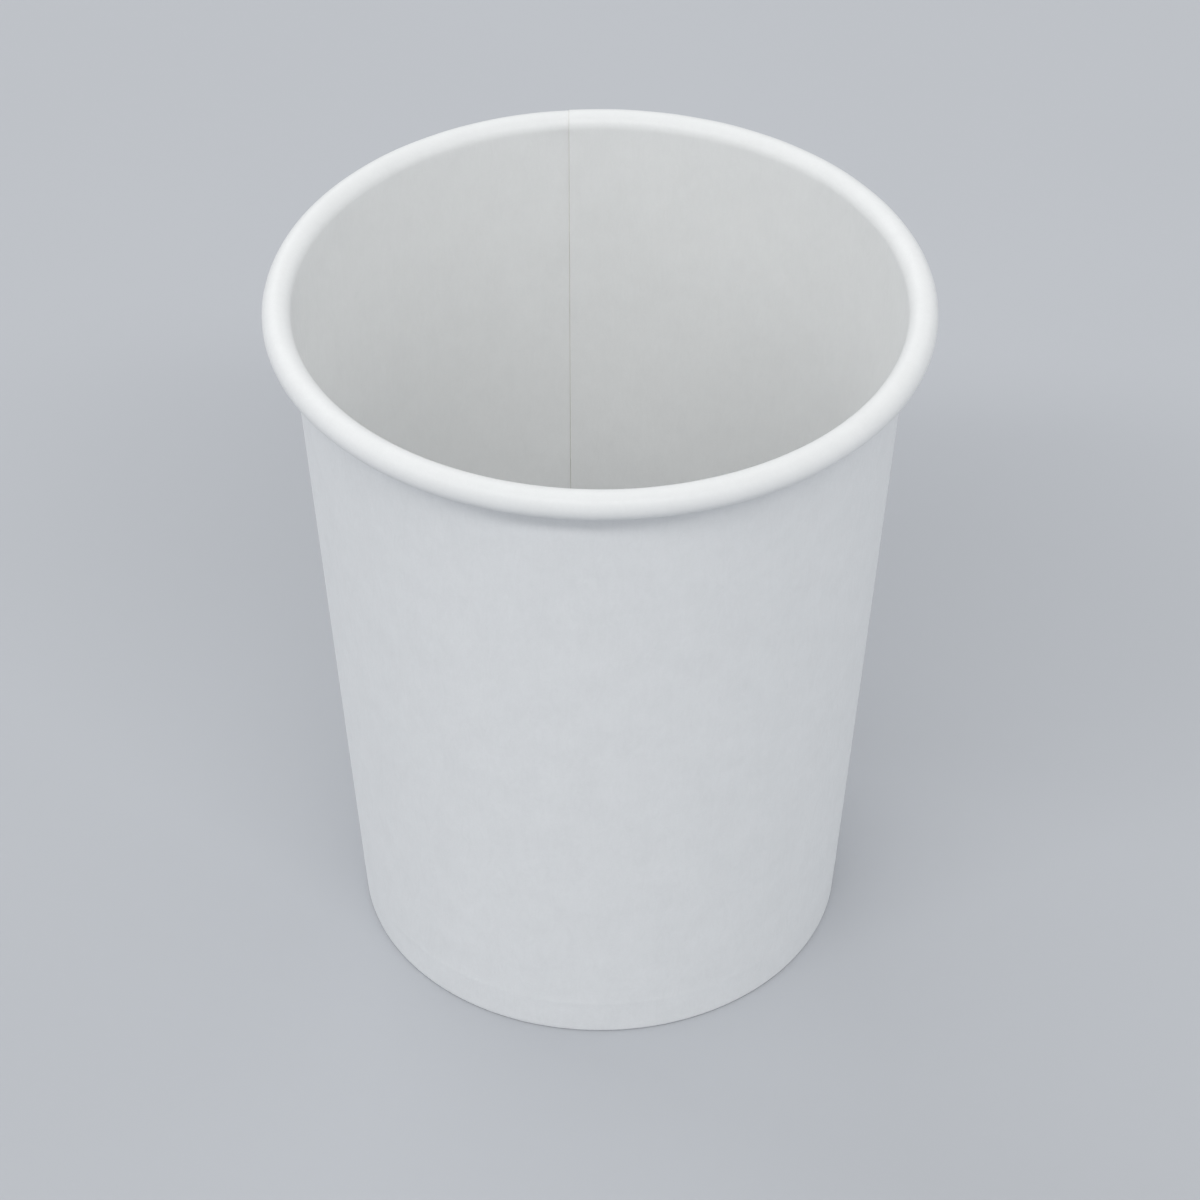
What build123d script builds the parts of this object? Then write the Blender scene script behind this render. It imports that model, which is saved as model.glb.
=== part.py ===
"""A single-wall paper cup of two board pieces.

The sidewall is one blank, wrapped and lapped into a cone, rolled outward at the rim and folded
inward at the foot. The bottom disc is drawn into a shallow inverted pan, whose skirt is sealed
between the wall and the folded hem.

Millimetres. The cup stands on the XY plane with its axis along +Z, and its side seam faces +Y.
"""

import os
from math import acos, asin, atan2, cos, degrees, radians, sin, sqrt, tan

from build123d import *

# Overall size
cup_height = 85.0
rim_diameter = 73.0
foot_diameter = 56.0

# Board, and the molten coating that seals two plies together
board = 0.30
seal_film = 0.02

# Rolled rim: a hollow curl, drawn in short flats.
# Its raw edge stops just short of the doubled wall at the seam.
roll_diameter = 3.2
roll_end_gap = 0.25
roll_flat_angle = 30.0
hollow_flat_angle = 50.0

# Recessed panel of the bottom disc, and the folded foot that grips its skirt
panel_height = 5.4
bend_ease = 0.80
hem_top_gap = 0.30
skirt_end_gap = 0.20
fold_ease = 0.25

# Lapped side seam: the outer ply ends in a raw edge outside, the inner ply in one inside
seam_angle = 90.0
seam_lap = 7.0
seam_ramp = 3.5
seam_sink_share = 0.5
inside_step_share = 0.6

# The wall's outside face runs straight from the edge of the foot
# until it is tangent to the roll's hollow side.
foot_radius = foot_diameter / 2
roll_radius = roll_diameter / 2
hollow_radius = roll_radius - board
roll_centre = Vector(rim_diameter / 2 - roll_radius, cup_height - roll_radius)
foot_to_roll = roll_centre - Vector(foot_radius, 0)
wall_angle = atan2(foot_to_roll.X, foot_to_roll.Y) - asin(hollow_radius / foot_to_roll.length)

# The roll turns from the wall over the top and down to where its raw edge is clear of the doubled wall.
roll_end_turn = acos((hollow_radius - board - roll_end_gap) / roll_radius)
roll_end_angle = degrees(roll_end_turn - wall_angle) - 180

# Plies at the foot, counted inward from the wall's outside face:
# wall, skirt and hem, with a seal film between.
skirt_depth = board + seal_film
hem_depth = skirt_depth + board + seal_film
foot_depth = hem_depth + board
hem_height = panel_height - board - bend_ease - hem_top_gap
skirt_end_height = board + skirt_end_gap
lap_end = seam_lap / 2


def wall_radius(height, depth=0):
    """Radius at a height of the face that lies at a depth inside the wall's outside face."""
    return foot_radius + height * tan(wall_angle) - depth / cos(wall_angle)


def roll_point(radius, angle):
    """A point of the rim's roll, at a radius and an angle in degrees about its centre."""
    return roll_centre + Vector(radius, 0).rotate(Axis.Z, angle)


def roll_points(radius, flat_angle):
    """One side of the roll, as a chain of flats from the wall to the raw edge."""
    corners = range(1, round((180 - roll_end_angle) / flat_angle))
    corner_angles = [180 - flat_angle * corner for corner in corners]
    angles = [180 - degrees(wall_angle), *corner_angles, roll_end_angle]
    return [roll_point(radius, angle) for angle in angles]


def seam_point(height, depth, along):
    """A point near the wall, at a height, a depth and a length round the wall from the seam's middle."""
    radius = wall_radius(height, depth)
    angle = radians(seam_angle) + along / radius
    return Vector(radius * cos(angle), radius * sin(angle))


with BuildPart() as sidewall:
    # The sheet in section: hem, fold, wall and roll along its outside face, and back along its inside face
    with BuildSketch(Plane.XZ):
        with BuildLine():
            Polyline(
                (wall_radius(hem_height, foot_depth), hem_height),
                (wall_radius(fold_ease, foot_depth), fold_ease),
                (wall_radius(0, foot_depth) + fold_ease, 0),
                (foot_radius - fold_ease, 0),
                (wall_radius(fold_ease), fold_ease),
                *roll_points(hollow_radius, hollow_flat_angle),
                *reversed(roll_points(roll_radius, roll_flat_angle)),
                (wall_radius(board, board), board),
                (wall_radius(board, hem_depth), board),
                (wall_radius(hem_height, hem_depth), hem_height),
                close=True,
            )
        make_face()
    revolve(axis=Axis.Z)

    # The outer ply of the seam: raised by one board over the lap, then easing down to the single wall.
    # It is sunk into the wall below, and its upper end is hidden inside the roll.
    sink = seam_sink_share * board
    for height in (fold_ease, roll_centre.Y):
        with BuildSketch(Plane.XY.offset(height)):
            with BuildLine():
                raw_edge = Line(seam_point(height, sink, -lap_end), seam_point(height, -board, -lap_end))
                lap = ThreePointArc(
                    raw_edge @ 1,
                    seam_point(height, -board, 0),
                    seam_point(height, -board, lap_end),
                )
                ramp = ThreePointArc(
                    lap @ 1,
                    seam_point(height, 0, lap_end + seam_ramp),
                    seam_point(height, sink, lap_end + seam_ramp * (1 + seam_sink_share)),
                )
                ThreePointArc(ramp @ 1, seam_point(height, sink, 0), raw_edge @ 0)
            make_face()
    loft(ruled=True)

    # The inner ply's raw edge: a step inside the cup that eases out to the single wall and up over the roll
    step = inside_step_share * board
    for height in (panel_height, cup_height):
        with BuildSketch(Plane.XY.offset(height)):
            with BuildLine():
                raw_edge = Line(
                    seam_point(height, board + step, lap_end),
                    seam_point(height, board - step, lap_end),
                )
                ramp = ThreePointArc(
                    raw_edge @ 1,
                    seam_point(height, board, lap_end + seam_ramp),
                    seam_point(height, board + step, lap_end + 2 * seam_ramp),
                )
                ThreePointArc(ramp @ 1, seam_point(height, board + step, lap_end + seam_ramp), raw_edge @ 0)
            make_face()
    loft(ruled=True, mode=Mode.SUBTRACT)

with BuildPart() as bottom_disc:
    # The drawn disc in section: panel, bend and skirt along its upper face, and back along its underside
    with BuildSketch(Plane.XZ):
        with BuildLine():
            underside_height = panel_height - board
            skirt_inside = skirt_depth + board
            inside_ease = bend_ease - (2 - sqrt(2)) * board
            Polyline(
                (0, panel_height),
                (wall_radius(panel_height, skirt_depth) - bend_ease, panel_height),
                (wall_radius(panel_height - bend_ease, skirt_depth), panel_height - bend_ease),
                (wall_radius(skirt_end_height, skirt_depth), skirt_end_height),
                (wall_radius(skirt_end_height, skirt_inside), skirt_end_height),
                (wall_radius(underside_height - inside_ease, skirt_inside), underside_height - inside_ease),
                (wall_radius(underside_height, skirt_inside) - inside_ease, underside_height),
                (0, underside_height),
                close=True,
            )
        make_face()
    revolve(axis=Axis.Z)

os.makedirs("parts", exist_ok=True)
sidewall.part.label = "sidewall"
export_step(sidewall.part, "parts/sidewall.step")
bottom_disc.part.label = "bottom_disc"
export_step(bottom_disc.part, "parts/bottom_disc.step")
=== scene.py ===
"""Looks of a single-wall paper cup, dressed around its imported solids.

Two finely meshed board pieces replace the two solids and keep their form: the sidewall, with its
rolled rim, lapped seam and knurled hem, and the bottom disc, with its drawn and faintly pleated edge.
Shapes are worked out in millimetres, and written out in metres.
"""

import math

import bmesh
import bpy
import numpy as np
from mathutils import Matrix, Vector


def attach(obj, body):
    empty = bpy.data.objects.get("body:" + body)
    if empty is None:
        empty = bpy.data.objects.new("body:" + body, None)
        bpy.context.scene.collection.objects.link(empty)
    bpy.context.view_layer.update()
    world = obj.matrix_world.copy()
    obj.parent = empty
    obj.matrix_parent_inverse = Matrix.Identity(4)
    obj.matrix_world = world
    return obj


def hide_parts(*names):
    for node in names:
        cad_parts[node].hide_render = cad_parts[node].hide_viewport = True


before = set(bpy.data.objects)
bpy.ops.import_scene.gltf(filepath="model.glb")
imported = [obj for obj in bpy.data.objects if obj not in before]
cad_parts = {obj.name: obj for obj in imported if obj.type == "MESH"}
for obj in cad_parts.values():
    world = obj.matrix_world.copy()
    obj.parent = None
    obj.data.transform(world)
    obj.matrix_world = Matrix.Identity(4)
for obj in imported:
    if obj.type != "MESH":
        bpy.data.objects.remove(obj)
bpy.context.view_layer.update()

MILLIMETRE = 0.001

# Sizes of the cup, in millimetres, as in the solids
CUP_HEIGHT = 85.0
RIM_RADIUS = 36.5
FOOT_RADIUS = 28.0
BOARD = 0.30
SEAL_FILM = 0.02
ROLL_RADIUS = 1.6
ROLL_END_GAP = 0.25
PANEL_HEIGHT = 5.4
HEM_HEIGHT = 4.0
SKIRT_END = 0.5
SEAM_ANGLE = math.radians(90)
SEAM_LAP = 7.0
SEAM_RAMP = 3.5
INSIDE_STEP = 0.18

# Softened corners of the board
FOLD_RADIUS = 0.34
BEND_RADIUS = 0.95

# Lines of the section, as in the solids
LAP_END = SEAM_LAP / 2
HOLLOW_RADIUS = ROLL_RADIUS - BOARD
ROLL_CENTRE = (RIM_RADIUS - ROLL_RADIUS, CUP_HEIGHT - ROLL_RADIUS)
FOOT_TO_ROLL = (ROLL_CENTRE[0] - FOOT_RADIUS, ROLL_CENTRE[1])
SLOPE = math.atan2(*FOOT_TO_ROLL) - math.asin(HOLLOW_RADIUS / math.hypot(*FOOT_TO_ROLL))
ROLL_START = math.pi - SLOPE
ROLL_END = math.acos((HOLLOW_RADIUS - BOARD - ROLL_END_GAP) / ROLL_RADIUS) - SLOPE - math.pi
SKIRT_DEPTH = BOARD + SEAL_FILM
HEM_DEPTH = SKIRT_DEPTH + BOARD + SEAL_FILM
FOOT_DEPTH = HEM_DEPTH + BOARD
OUTWARD = np.array([math.cos(SLOPE), -math.sin(SLOPE)])
UP = math.pi / 2
DOWN = 1.5 * math.pi

# The raised outer ply at the seam: where it fades out towards the fold, in the hem and inside the roll.
# Fades are heights in millimetres, or turns of the roll in radians.
LAP_FADE = (0.2, 1.6)
LAP_HEM_FADE = (0.3, 1.2)
LAP_HEM_SHARE = 0.8
LAP_ROLL_FADE = (0.4, 1.2)

# The inner ply's step: where it starts above the panel, and fades on the outer side of the roll
STEP_FADE = (5.0, 5.6)
STEP_ROLL_FADE = (0.2, 1.7)
STEP_ROLL_SHARE = 0.8

# Knurled hem: its ribs, and the band of heights that they fill
KNURLS = 96
KNURL_DEPTH = 0.18
KNURL_FLANK = (-0.6, 0.6)
KNURL_FOOT = (0.5, 1.1)
KNURL_TOP = (3.5, 3.95)
KNURL_LOSS_AT_LAP = 0.8

# Ridge where the drawn edge of the disc seats against the wall
SEAT_RIDGE = 0.03
SEAT_HEIGHT = 4.75
SEAT_REACH = 0.42
SEAT_LEAST = 0.6

# Unevenness of the rim: the roll's size, and the heights over which the wall dips and leans
ROLL_WAVER = 0.07
ROLL_SLOW_SHARE = 0.65
ROLL_GROWTH = (0.2, 1.4)
RIM_DIP = 0.16
DIP_FADE = (45, 84)
RIM_LEAN = 0.08
LEAN_FADE = (20, 84)

# Pleats of the drawn disc, and the sag of its panel
PLEAT_DEPTH = 0.05
PLEAT_LEAST = 0.5
PLEAT_BEND_LEAST = 0.35
PLEAT_SKIRT_SHARE = 0.3
PANEL_SAG = 0.25
SAG_RADIUS = 26.5
SAG_LEVEL = 0.85
SAG_RIPPLE = 0.3
RIPPLE_FADE = (0, 14)

# Random waves round the cup: seed, fewest and most cycles, and a number of waves other than the usual one
WAVE_COUNT = 7
WAVE_LEAST = 0.4
SEAT_WAVE = (11, 3, 17)
ROLL_SLOW_WAVE = (5, 2, 9)
ROLL_QUICK_WAVE = (6, 14, 40)
DIP_WAVE = (8, 1, 4)
LEAN_WAVE = (9, 2, 3)
PLEAT_WAVE = (21, 60, 96, 9)
PLEAT_STRENGTH_WAVE = (22, 5, 13)
SAG_WAVE = (23, 1, 3)

# Mesh columns round the cup: their number, the radius where they are even, the width that a raw edge
# takes up, and the angles from the seam over which they change from parallel to it to fanned out
COLUMNS = 576
MID_RADIUS = 31.0
RAW_EDGE = 0.08
FAN_FADE = (0.5, 1.3)

# Mesh rows along the sections: first place, last place and number, closer together where the disc seats
OUTSIDE_ROWS = ((0.6, 3.4, 4), (3.7, 6.2, 11), (7.0, 80.0, 18), (81.0, 83.2, 4))
INSIDE_ROWS = ((83.2, 81.0, 4), (80.0, 8.0, 18), (7.2, 4.8, 7), (2.5, 2.5, 1))
TUCK_ROWS = ((0.8, HEM_HEIGHT, 4),)
PANEL_ROWS = (1.0, 22.0, 15)
PANEL_EDGE_START = 23.0
PANEL_EDGE_GAP = 0.2
PANEL_EDGE_ROWS = 9
HEM_ROWS = 8
FOLD_ROWS = 7
HOLLOW_ROWS = 18
ROLL_ROWS = 40
BEND_ROWS = 9
SKIRT_ROWS = 6
SKIRT_TOP_GAP = 0.3
SHARP_ANGLE = math.radians(38)

# Materials of a board piece, by the order of their slots
MATTE, COATED, CUT = 0, 1, 2

# Faces of the board, in the order of the slots: colour, the share of it where it is darkest, roughness,
# relief of fibres and cockle in millimetres, and shine
BOARD_FACES = {
    "board_matte_face": dict(
        colour=(0.828, 0.840, 0.850), darkest=0.93, rough=0.80, fibre=0.022, cockle=0.050, shine=0.3,
    ),
    "board_coated_face": dict(
        colour=(0.828, 0.836, 0.836), darkest=0.95, rough=0.44, fibre=0.012, cockle=0.060, shine=0.4,
    ),
    "board_cut_edge": dict(
        colour=(0.76, 0.75, 0.72), darkest=0.88, rough=0.88, fibre=0.030, cockle=0.020, shine=0.2,
    ),
}

# Grain of the board: its patterns per metre, and the upright stretch of its fibres
CLOUD = dict(scale=260.0, detail=4.0, rough=0.6)
STRAND = dict(scale=1150.0, detail=4.0, rough=0.62, warp=1.4)
SPECK = dict(scale=4600.0, detail=2.0, rough=0.5)
COCKLE = dict(scale=170.0, detail=2.0, rough=0.5)
UPRIGHT_GRAIN = (1.0, 1.0, 0.32)

# The part of each pattern's range that goes from dark to light, and how much each counts
CLOUD_RANGE = (0.32, 0.68)
STRAND_RANGE = (0.34, 0.66)
SPECK_RANGE = (0.3, 0.7)
ROUGH_RANGE = (0.3, 0.7)
ROUGH_SWING = 0.07
CLOUD_SHARE = 0.4
SPECK_SHARE = 0.4
SPECK_RELIEF = 0.5

# Studio, in metres: the lamps' distance, and a floor that sweeps up below them
LAMP_DISTANCE = 9.0
FLOOR_REACH = 5.0
SWEEP_RADIUS = 1.2
SWEEP_STEPS = 16
FLOOR_SIDES = 96
FLOOR_GAP = 0.00003
FLOOR_DARK = (0.483, 0.498, 0.527, 1.0)
FLOOR_LIGHT = (0.494, 0.510, 0.539, 1.0)
FLOOR_CLOUD = dict(scale=9.0, detail=2.0, rough=0.55)
FLOOR_RANGE = (0.3, 0.7)
FLOOR_ROUGH = 0.9
FLOOR_SHINE = 0.15

# Soft panels of light, in degrees round and above the cup. Azimuth 0 is in front of it, 90 at its right.
# Width and height are shares of the distance, and the level is in watts for each metre of distance squared.
LAMPS = {
    "soft_key": dict(
        azimuth=-6, elevation=53, wide=1.46, tall=0.13, level=5.2, colour=(1.0, 0.995, 0.985),
    ),
    "soft_left": dict(
        azimuth=-78, elevation=30, wide=0.77, tall=0.46, level=1.05, colour=(0.985, 0.99, 1.0),
    ),
    "soft_right": dict(
        azimuth=78, elevation=30, wide=0.77, tall=0.46, level=0.7, colour=(0.985, 0.99, 1.0),
    ),
    "soft_back": dict(
        azimuth=-146, elevation=34, wide=0.9, tall=0.46, level=2.2, colour=(0.99, 0.995, 1.0),
    ),
    "soft_back_right": dict(
        azimuth=128, elevation=30, wide=0.9, tall=0.46, level=0.95, colour=(0.99, 0.995, 1.0),
    ),
}
ROOM_COLOUR = (0.965, 0.985, 1.0, 1.0)
ROOM_LEVEL = 0.54

# Camera: its place and aim in metres, its lens and picture width in millimetres
CAMERA_PLACE = Vector((0.0, -0.367, 0.350))
CAMERA_AIM = Vector((0.0, 0.0, 0.0415))
CAMERA_LENS = 126.0
CAMERA_SENSOR = 36.0


def smooth(low, high, value):
    """Ease from 0 at low to 1 at high."""
    share = np.clip((np.asarray(value, float) - low) / (high - low), 0, 1)
    return share * share * (3 - 2 * share)


def places(spans):
    """Places along a line, from spans of a first place, a last place and a number."""
    return np.concatenate([np.linspace(*span) for span in spans])


def wall_radius(height, depth=0.0):
    """Radius at a height of the face that lies at a depth inside the wall's outside face."""
    return float(FOOT_RADIUS + height * math.tan(SLOPE) - depth / math.cos(SLOPE))


class Section:
    """A closed section of a board piece, in runs of points with a label.

    Each point has a radius, a height, a normal, its turn on a round run, and the material from there to
    the next point.
    """

    def __init__(self):
        self.radii = []
        self.heights = []
        self.normals = []
        self.turns = []
        self.labels = []
        self.materials = []

    def add(self, label, points, normals, turns, material, last_material=None):
        """Add a run, whose last point may start another material."""
        for point, normal, turn in zip(points, normals, turns):
            self.radii.append(point[0])
            self.heights.append(point[1])
            self.normals.append(normal)
            self.turns.append(turn)
            self.labels.append(label)
            self.materials.append(material)
        if last_material is not None:
            self.materials[-1] = last_material

    def line(self, label, heights, depth, facing, material, last_material=None):
        """A straight run parallel to the wall, at a depth, facing outward (1) or towards the axis (-1)."""
        points = [(wall_radius(height, depth), height) for height in heights]
        normals = [facing * OUTWARD] * len(points)
        self.add(label, points, normals, [0.0] * len(points), material, last_material)

    def arc(self, label, centre, radius, start, end, rows, facing, material, last_material=None):
        """A round run about a centre, facing away from it (1) or towards it (-1)."""
        turns = np.linspace(start, end, rows)
        rays = [np.array([math.cos(turn), math.sin(turn)]) for turn in turns]
        points = [np.array(centre) + radius * ray for ray in rays]
        self.add(label, points, [facing * ray for ray in rays], turns, material, last_material)

    def level(self, label, radii, height, facing, material):
        """A flat run at one height, facing up (1) or down (-1)."""
        points = [(radius, height) for radius in radii]
        normals = [np.array([0.0, facing])] * len(points)
        self.add(label, points, normals, [0.0] * len(points), material)

    def close(self):
        """Turn the lists into arrays, once all the runs are there."""
        self.radii = np.array(self.radii)
        self.heights = np.array(self.heights)
        self.normals = np.array(self.normals)
        self.turns = np.array(self.turns)
        self.labels = np.array(self.labels)
        return self

    def pushed(self, push):
        """Radii and heights of the points in every column, moved along their normals."""
        radii = self.radii[:, None] + push * self.normals[:, :1]
        heights = self.heights[:, None] + push * self.normals[:, 1:]
        return radii, heights


def mesh_columns():
    """Lengths round the cup from the seam's middle, at the mid radius, with close pairs at the raw edges.

    Even columns that come closer to a mark than a third of their pitch give way to it.
    """
    pitch = 2 * math.pi * MID_RADIUS / COLUMNS
    even = (np.arange(COLUMNS) - COLUMNS / 2) * pitch
    marks = np.array([-LAP_END - RAW_EDGE, -LAP_END, LAP_END, LAP_END + RAW_EDGE, LAP_END + SEAM_RAMP])
    spare = np.abs(even[:, None] - marks[None, :]).min(axis=1) > pitch / 3
    return np.sort(np.concatenate([even[spare], marks]))


def column_angles(columns, radii):
    """Angle of each column at each radius. Near the seam a column keeps its length round the wall."""
    turn = columns / MID_RADIUS
    near = 1 - smooth(*FAN_FADE, np.abs(turn))
    stretch = near[None, :] * (MID_RADIUS / radii[:, None]) + (1 - near)[None, :]
    return SEAM_ANGLE + turn[None, :] * stretch


def wander(turn, seed, low, high, count=WAVE_COUNT):
    """A smooth random wave round the cup, from 0 to 1."""
    rng = np.random.default_rng(seed)
    wave = np.zeros_like(turn)
    for _ in range(count):
        cycles = rng.integers(low, high + 1)
        wave += rng.uniform(WAVE_LEAST, 1.0) * np.sin(cycles * turn + rng.uniform(0, 2 * math.pi))
    return (wave - wave.min()) / (wave.max() - wave.min())


def add_object(name, data):
    """Put a mesh, a light or a camera into the scene."""
    added = bpy.data.objects.new(name, data)
    bpy.context.scene.collection.objects.link(added)
    return added


def grid_faces(materials, rows, columns, cut_faces, capped):
    """Faces between the rows and columns of a grid, and their materials. Capped grids have open ends."""
    faces = []
    slots = []
    for row in range(rows - 1 if capped else rows):
        here = row * columns
        there = (row + 1) % rows * columns
        for column in range(columns):
            beside = (column + 1) % columns
            faces.append((here + column, here + beside, there + beside, there + column))
            is_cut = (column, materials[row]) in cut_faces
            slots.append(CUT if is_cut else materials[row])
    return faces, slots


def board_mesh(name, section, radii, heights, angles, cut_faces=(), capped=False):
    """A closed mesh from a grid of section points (rows) round the cup (columns).

    Cut faces are pairs of a column and the material that a cut takes the place of. A capped grid starts and
    ends on the axis.
    """
    rows, columns = radii.shape
    grid = np.stack([radii * np.cos(angles), radii * np.sin(angles), heights], axis=-1)
    points = [tuple(point) for point in grid.reshape(-1, 3) * MILLIMETRE]
    faces, slots = grid_faces(section.materials, rows, columns, cut_faces, capped)
    if capped:
        for row in (0, rows - 1):
            hub = len(points)
            points.append((0.0, 0.0, float(heights[row].mean()) * MILLIMETRE))
            for column in range(columns):
                beside = (column + 1) % columns
                faces.append((hub, row * columns + column, row * columns + beside))
                slots.append(section.materials[row])
    mesh = bpy.data.meshes.new(name)
    mesh.from_pydata(points, [], faces)
    mesh.polygons.foreach_set("material_index", slots)
    turned = bmesh.new()
    turned.from_mesh(mesh)
    bmesh.ops.recalc_face_normals(turned, faces=turned.faces)
    turned.to_mesh(mesh)
    turned.free()
    mesh.polygons.foreach_set("use_smooth", [True] * len(mesh.polygons))
    mesh.set_sharp_from_angle(angle=SHARP_ANGLE)
    return add_object(name, mesh)


def sidewall_section():
    """Hem, fold, wall and roll along the sheet's outside face, and back along its coated inside face."""
    section = Section()
    fold_in = (wall_radius(FOLD_RADIUS, FOOT_DEPTH - FOLD_RADIUS), FOLD_RADIUS)
    fold_out = (wall_radius(FOLD_RADIUS, FOLD_RADIUS), FOLD_RADIUS)
    fold_top = FOLD_RADIUS * (1 + math.sin(SLOPE))
    section.line("hem", np.linspace(HEM_HEIGHT, fold_top, HEM_ROWS + 1)[:-1], FOOT_DEPTH, -1, MATTE)
    section.arc("fold", fold_in, FOLD_RADIUS, ROLL_START, DOWN, FOLD_ROWS, 1, MATTE)
    section.arc("fold", fold_out, FOLD_RADIUS, DOWN, 2 * math.pi - SLOPE, FOLD_ROWS, 1, MATTE)
    section.line("outside", places(OUTSIDE_ROWS), 0.0, 1, MATTE)
    section.arc("hollow", ROLL_CENTRE, HOLLOW_RADIUS, ROLL_START, ROLL_END, HOLLOW_ROWS, -1, MATTE, CUT)
    section.arc("roll", ROLL_CENTRE, ROLL_RADIUS, ROLL_END, ROLL_START, ROLL_ROWS, 1, COATED)
    section.line("inside", places(INSIDE_ROWS), BOARD, -1, COATED)
    tuck_radii = [wall_radius(BOARD, BOARD), wall_radius(BOARD, HEM_DEPTH)]
    section.level("tuck", tuck_radii, BOARD, 1, COATED)
    section.line("tuck", places(TUCK_ROWS), HEM_DEPTH, 1, COATED, CUT)
    return section.close()


def ply_lift(columns, start):
    """Round the wall: 0 before a ply's raw edge, 1 from there to the lap's end, then easing back to 0."""
    return np.where(columns < start, 0.0, 1 - np.clip((columns - LAP_END) / SEAM_RAMP, 0, 1))


def outer_ply(columns):
    """Round the wall, where the seam's outer ply stands proud."""
    return ply_lift(columns, -LAP_END - RAW_EDGE / 2)


def seam_lap(section, columns):
    """The seam's outer ply: one board proud, ending in a raw edge and easing down to the single wall."""
    share = np.zeros(len(section.labels))
    outside = section.labels == "outside"
    hem = section.labels == "hem"
    hollow = section.labels == "hollow"
    share[outside] = smooth(*LAP_FADE, section.heights[outside])
    share[hem] = LAP_HEM_SHARE * smooth(*LAP_HEM_FADE, section.heights[hem])
    share[hollow] = 1 - smooth(*LAP_ROLL_FADE, ROLL_START - section.turns[hollow])
    return np.outer(BOARD * share, outer_ply(columns))


def inside_step(section, columns):
    """The inner ply's raw edge: a step inside, which runs up over the roll and fades on its outer side."""
    share = np.zeros(len(section.labels))
    inside = section.labels == "inside"
    roll = section.labels == "roll"
    share[inside] = smooth(*STEP_FADE, section.heights[inside])
    share[roll] = STEP_ROLL_SHARE * smooth(*STEP_ROLL_FADE, section.turns[roll])
    return np.outer(INSIDE_STEP * share, ply_lift(columns, LAP_END + RAW_EDGE / 2))


def knurling(section, columns):
    """The hem's ribs, pressed against the skirt by a toothed wheel and weaker on the doubled wall."""
    share = np.zeros(len(section.labels))
    hem = section.labels == "hem"
    share[hem] = smooth(*KNURL_FOOT, section.heights[hem]) * (1 - smooth(*KNURL_TOP, section.heights[hem]))
    turn = columns / MID_RADIUS
    ribs = smooth(*KNURL_FLANK, -np.cos(KNURLS * turn))
    return np.outer(KNURL_DEPTH * share, ribs * (1 - KNURL_LOSS_AT_LAP * outer_ply(columns)))


def seat_ridge(section, turn):
    """A faint ridge where the drawn edge of the disc seats against the wall."""
    across = np.exp(-(((section.heights - SEAT_HEIGHT) / SEAT_REACH) ** 2))
    share = np.where(section.labels == "outside", across, 0.0)
    return np.outer(SEAT_RIDGE * share, SEAT_LEAST + (1 - SEAT_LEAST) * wander(turn, *SEAT_WAVE))


def roll_waver(section, turn):
    """Unevenness of the roll round the rim: its two faces move together."""
    slow = wander(turn, *ROLL_SLOW_WAVE)
    quick = wander(turn, *ROLL_QUICK_WAVE)
    waver = ROLL_WAVER * (ROLL_SLOW_SHARE * slow + (1 - ROLL_SLOW_SHARE) * quick)
    grown = smooth(*ROLL_GROWTH, ROLL_START - section.turns)
    facing = np.where(section.labels == "hollow", 1.0, 0.0) - np.where(section.labels == "roll", 1.0, 0.0)
    return np.outer(facing * grown, waver)


def column_at(columns, place):
    """The column nearest to a place round the wall."""
    return int(np.argmin(np.abs(columns - place)))


def make_sidewall():
    """The wrapped, rolled and folded board of the wall."""
    section = sidewall_section()
    columns = mesh_columns()
    turn = columns / MID_RADIUS
    push = seam_lap(section, columns) - inside_step(section, columns) - knurling(section, columns)
    push = push + seat_ridge(section, turn) + roll_waver(section, turn)
    radii, heights = section.pushed(push)
    heights = heights - smooth(*DIP_FADE, heights) * (RIM_DIP * wander(turn, *DIP_WAVE))
    radii = radii - smooth(*LEAN_FADE, heights) * (RIM_LEAN * wander(turn, *LEAN_WAVE))
    cut_faces = {
        (column_at(columns, -LAP_END - RAW_EDGE), MATTE),
        (column_at(columns, LAP_END), COATED),
    }
    angles = column_angles(columns, section.radii)
    return board_mesh("sidewall_board", section, radii, heights, angles, cut_faces)


def disc_section():
    """Panel, drawn bend and skirt along the disc's upper face, and back along its underside."""
    section = Section()
    bend_height = PANEL_HEIGHT - BEND_RADIUS
    bend_centre = (wall_radius(bend_height, SKIRT_DEPTH + BEND_RADIUS), bend_height)
    skirt_top = bend_height - BEND_RADIUS * math.sin(SLOPE) - SKIRT_TOP_GAP
    skirt_heights = np.linspace(skirt_top, SKIRT_END, SKIRT_ROWS)
    panel_edge = (PANEL_EDGE_START, bend_centre[0] - PANEL_EDGE_GAP, PANEL_EDGE_ROWS)
    panel_radii = places((PANEL_ROWS, panel_edge))
    section.level("panel", panel_radii, PANEL_HEIGHT, 1, COATED)
    section.arc("bend", bend_centre, BEND_RADIUS, UP, -SLOPE, BEND_ROWS, 1, COATED)
    section.line("skirt", skirt_heights, SKIRT_DEPTH, 1, COATED, CUT)
    section.line("skirt", skirt_heights[::-1], SKIRT_DEPTH + BOARD, -1, MATTE)
    section.arc("bend", bend_centre, BEND_RADIUS - BOARD, -SLOPE, UP, BEND_ROWS, -1, MATTE)
    section.level("panel", panel_radii[::-1], PANEL_HEIGHT - BOARD, -1, MATTE)
    return section.close()


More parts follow.
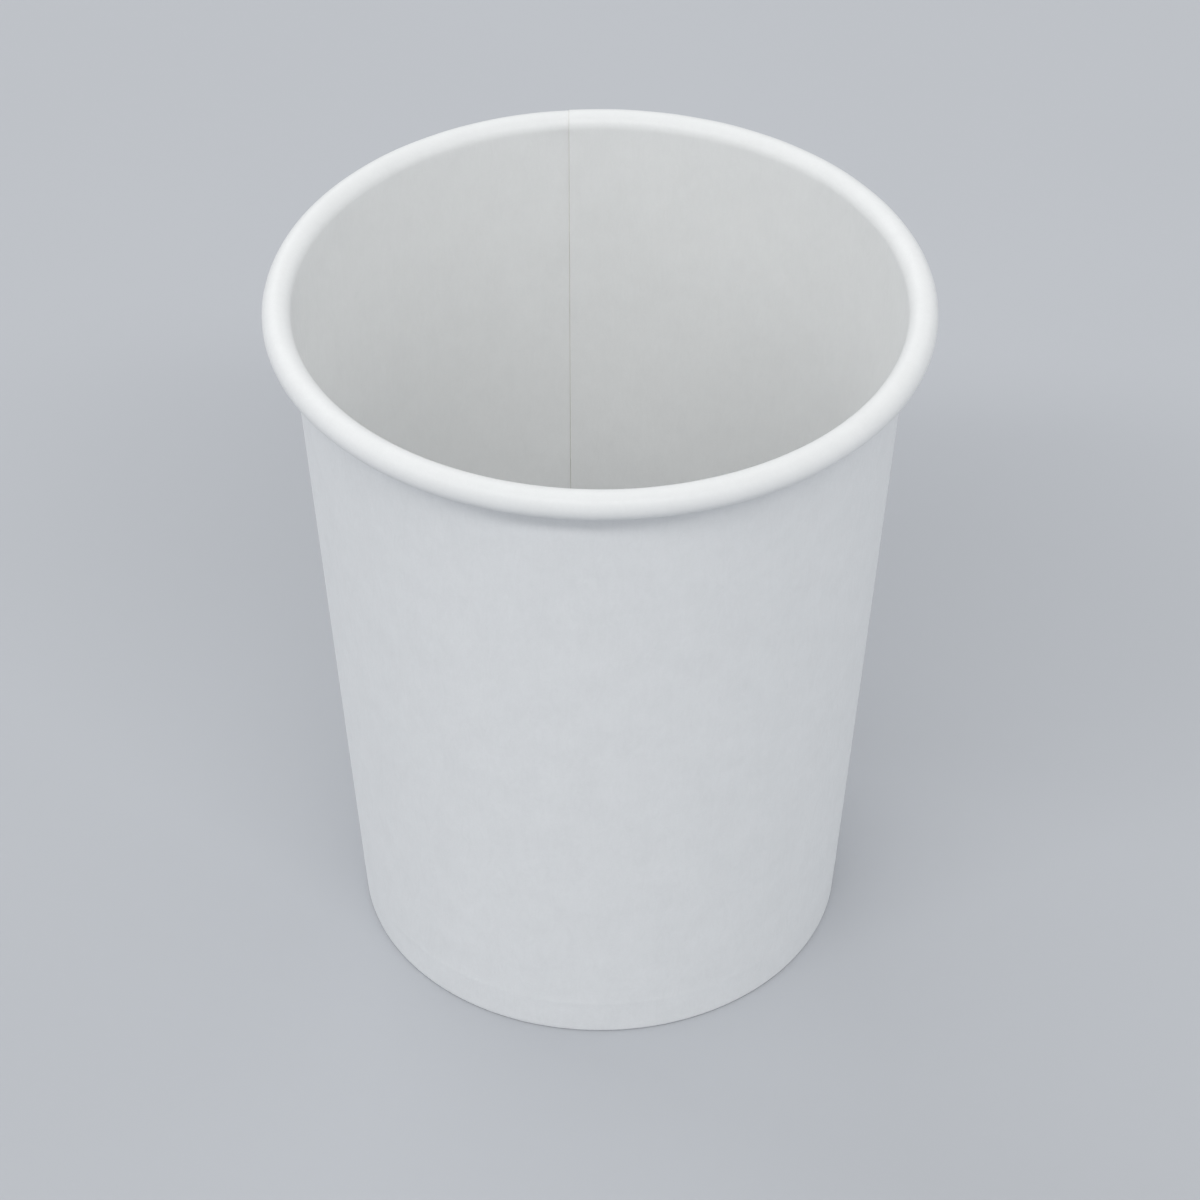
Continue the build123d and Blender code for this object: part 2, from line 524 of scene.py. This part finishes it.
def disc_pleats(section, turn):
    """Fine pleats where the flat blank was drawn down into a skirt, pressed inward on both faces."""
    strength = PLEAT_LEAST + (1 - PLEAT_LEAST) * wander(turn, *PLEAT_STRENGTH_WAVE)
    pleats = wander(turn, *PLEAT_WAVE) * strength
    share = np.zeros(len(section.labels))
    bend = section.labels == "bend"
    share[bend] = PLEAT_BEND_LEAST + (1 - PLEAT_BEND_LEAST) * np.cos(section.turns[bend]).clip(0, 1)
    share[section.labels == "skirt"] = PLEAT_SKIRT_SHARE
    is_upper = np.arange(len(share)) < len(share) // 2
    facing = np.where(is_upper, -1.0, 1.0)
    return np.outer(PLEAT_DEPTH * share * facing, pleats)


def panel_sag(section, turn):
    """How far the panel sags towards its middle, a little unevenly."""
    dish = (1 - (section.radii / SAG_RADIUS).clip(0, 1) ** 2) ** 2
    share = np.where(section.labels == "panel", dish, 0.0)
    ripple = np.outer(smooth(*RIPPLE_FADE, section.radii), 0.5 - wander(turn, *SAG_WAVE))
    return PANEL_SAG * share[:, None] * (SAG_LEVEL + SAG_RIPPLE * ripple)


def make_disc():
    """The drawn board of the bottom."""
    section = disc_section()
    turn = mesh_columns() / MID_RADIUS
    radii, heights = section.pushed(disc_pleats(section, turn))
    heights = heights - panel_sag(section, turn)
    return board_mesh("bottom_disc_board", section, radii, heights, SEAM_ANGLE + turn, capped=True)


class Nodes:
    """A short way to write a material's node tree."""

    def __init__(self, name):
        self.material = bpy.data.materials.new(name)
        self.material.use_nodes = True
        self.tree = self.material.node_tree
        self.shader = self.tree.nodes["Principled BSDF"]
        self.place = self.add("ShaderNodeTexCoord").outputs["Object"]

    def feed(self, node, socket, value):
        """Link another node's output to a socket, or set a fixed value on it."""
        if isinstance(value, bpy.types.NodeSocket):
            self.tree.links.new(value, node.inputs[socket])
        else:
            node.inputs[socket].default_value = value

    def add(self, kind, inputs=None, **settings):
        """A new node with its settings and inputs."""
        node = self.tree.nodes.new(kind)
        for key, value in settings.items():
            setattr(node, key, value)
        for socket, value in (inputs or {}).items():
            self.feed(node, socket, value)
        return node

    def noise(self, scale, detail, rough, warp=0.0, place=None):
        """A cloudy pattern, of a number of cells per metre."""
        inputs = {"Vector": place or self.place, "Scale": scale, "Detail": detail}
        inputs.update({"Roughness": rough, "Distortion": warp})
        return self.add("ShaderNodeTexNoise", inputs).outputs["Fac"]

    def stretched(self, scale):
        """The place on the piece, scaled along each axis."""
        return self.add("ShaderNodeMapping", {"Vector": self.place, "Scale": scale}).outputs["Vector"]

    def spread(self, value, before, after=(0.0, 1.0)):
        """Spread one range of a value out to another."""
        inputs = {"Value": value, "From Min": before[0], "From Max": before[1]}
        inputs.update({"To Min": after[0], "To Max": after[1]})
        return self.add("ShaderNodeMapRange", inputs).outputs["Result"]

    def mix(self, factor, first, second):
        """Mix two colours, whose sockets on this node are known by their order."""
        first_socket, second_socket, result = 6, 7, 2
        inputs = {"Factor": factor, first_socket: first, second_socket: second}
        return self.add("ShaderNodeMix", inputs, data_type="RGBA").outputs[result]

    def bump(self, height, depth, normal=None):
        """Relief of a depth in millimetres, on top of other relief where there is some."""
        inputs = {"Height": height, "Distance": depth * MILLIMETRE}
        if normal is not None:
            inputs["Normal"] = normal
        return self.add("ShaderNodeBump", inputs).outputs["Normal"]

    def set(self, socket, value):
        """Feed a socket of the material's shader."""
        self.feed(self.shader, socket, value)


def board_material(name, colour, darkest, rough, fibre, cockle, shine):
    """Cup board: clouds, upright fibres and specks in its colour, fibres and a slight cockle as relief."""
    nodes = Nodes(name)
    cloud = nodes.noise(**CLOUD)
    strands = nodes.noise(**STRAND, place=nodes.stretched(UPRIGHT_GRAIN))
    specks = nodes.noise(**SPECK)
    dark = (*(channel * darkest for channel in colour), 1.0)
    light = (*colour, 1.0)
    strand_tone = nodes.mix(nodes.spread(strands, STRAND_RANGE), dark, light)
    speck_tone = nodes.mix(nodes.spread(specks, SPECK_RANGE), dark, light)
    cloud_tone = nodes.mix(nodes.spread(cloud, CLOUD_RANGE), dark, light)
    fibres = nodes.mix(SPECK_SHARE, strand_tone, speck_tone)
    nodes.set("Base Color", nodes.mix(CLOUD_SHARE, fibres, cloud_tone))
    nodes.set("Roughness", nodes.spread(strands, ROUGH_RANGE, (rough + ROUGH_SWING, rough - ROUGH_SWING)))
    relief = nodes.bump(specks, SPECK_RELIEF * fibre)
    relief = nodes.bump(strands, fibre, relief)
    relief = nodes.bump(nodes.noise(**COCKLE), cockle, relief)
    nodes.set("Normal", relief)
    nodes.set("Specular IOR Level", shine)
    return nodes.material


def floor_material():
    """Plain pale paper with a faint cloudiness."""
    nodes = Nodes("studio_paper")
    cloud = nodes.spread(nodes.noise(**FLOOR_CLOUD), FLOOR_RANGE)
    nodes.set("Base Color", nodes.mix(cloud, FLOOR_DARK, FLOOR_LIGHT))
    nodes.set("Roughness", FLOOR_ROUGH)
    nodes.set("Specular IOR Level", FLOOR_SHINE)
    return nodes.material


def make_stage():
    """A plain pale floor that sweeps up into a backdrop all round."""
    verts = [(0.0, 0.0, -FLOOR_GAP)]
    for step in range(SWEEP_STEPS + 1):
        bend = step / SWEEP_STEPS * math.pi / 2
        radius = FLOOR_REACH + SWEEP_RADIUS * math.sin(bend)
        height = SWEEP_RADIUS * (1 - math.cos(bend)) - FLOOR_GAP
        for side in range(FLOOR_SIDES):
            turn = side / FLOOR_SIDES * 2 * math.pi
            verts.append((radius * math.cos(turn), radius * math.sin(turn), height))
    faces = []
    for side in range(FLOOR_SIDES):
        beside = (side + 1) % FLOOR_SIDES
        faces.append((0, 1 + side, 1 + beside))
        for ring in range(SWEEP_STEPS):
            low = 1 + ring * FLOOR_SIDES
            high = low + FLOOR_SIDES
            faces.append((low + side, high + side, high + beside, low + beside))
    mesh = bpy.data.meshes.new("studio_floor")
    mesh.from_pydata(verts, [], faces)
    mesh.polygons.foreach_set("use_smooth", [True] * len(mesh.polygons))
    mesh.materials.append(floor_material())
    add_object("studio_floor", mesh)


def make_lamp(name, azimuth, elevation, wide, tall, level, colour):
    """A soft panel of light that faces the middle of the cup."""
    around = math.radians(azimuth)
    above = math.radians(elevation)
    ray = Vector((math.sin(around) * math.cos(above), -math.cos(around) * math.cos(above), math.sin(above)))
    light = bpy.data.lights.new(name, "AREA")
    light.shape = "RECTANGLE"
    light.size = wide * LAMP_DISTANCE
    light.size_y = tall * LAMP_DISTANCE
    light.energy = level * LAMP_DISTANCE**2
    light.color = colour
    lamp = add_object(name, light)
    lamp.location = Vector((0.0, 0.0, CUP_HEIGHT / 2 * MILLIMETRE)) + LAMP_DISTANCE * ray
    lamp.rotation_euler = (-ray).to_track_quat("-Z", "Y").to_euler()


def make_light():
    """Even light from all round, and the soft panels."""
    room = bpy.data.worlds.new("soft_room")
    room.use_nodes = True
    sky = room.node_tree.nodes["Background"]
    sky.inputs["Color"].default_value = ROOM_COLOUR
    sky.inputs["Strength"].default_value = ROOM_LEVEL
    bpy.context.scene.world = room
    for name, lamp in LAMPS.items():
        make_lamp(name, **lamp)


def make_camera():
    """The photograph's view of the cup: from in front and well above."""
    data = bpy.data.cameras.new("camera")
    data.sensor_width = CAMERA_SENSOR
    data.lens = CAMERA_LENS
    camera = add_object("camera", data)
    camera.location = CAMERA_PLACE
    camera.rotation_euler = (CAMERA_AIM - CAMERA_PLACE).to_track_quat("-Z", "Y").to_euler()
    bpy.context.scene.camera = camera


def dress(piece, node, materials):
    """Give a piece its materials, and put it in the place of its solid."""
    for material in materials:
        piece.data.materials.append(material)
    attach(piece, "root")
    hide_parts(node)


bpy.context.scene.view_settings.view_transform = "Standard"
board_materials = [board_material(name, **face) for name, face in BOARD_FACES.items()]
dress(make_sidewall(), "sidewall", board_materials)
dress(make_disc(), "bottom_disc", board_materials)
make_stage()
make_light()
make_camera()
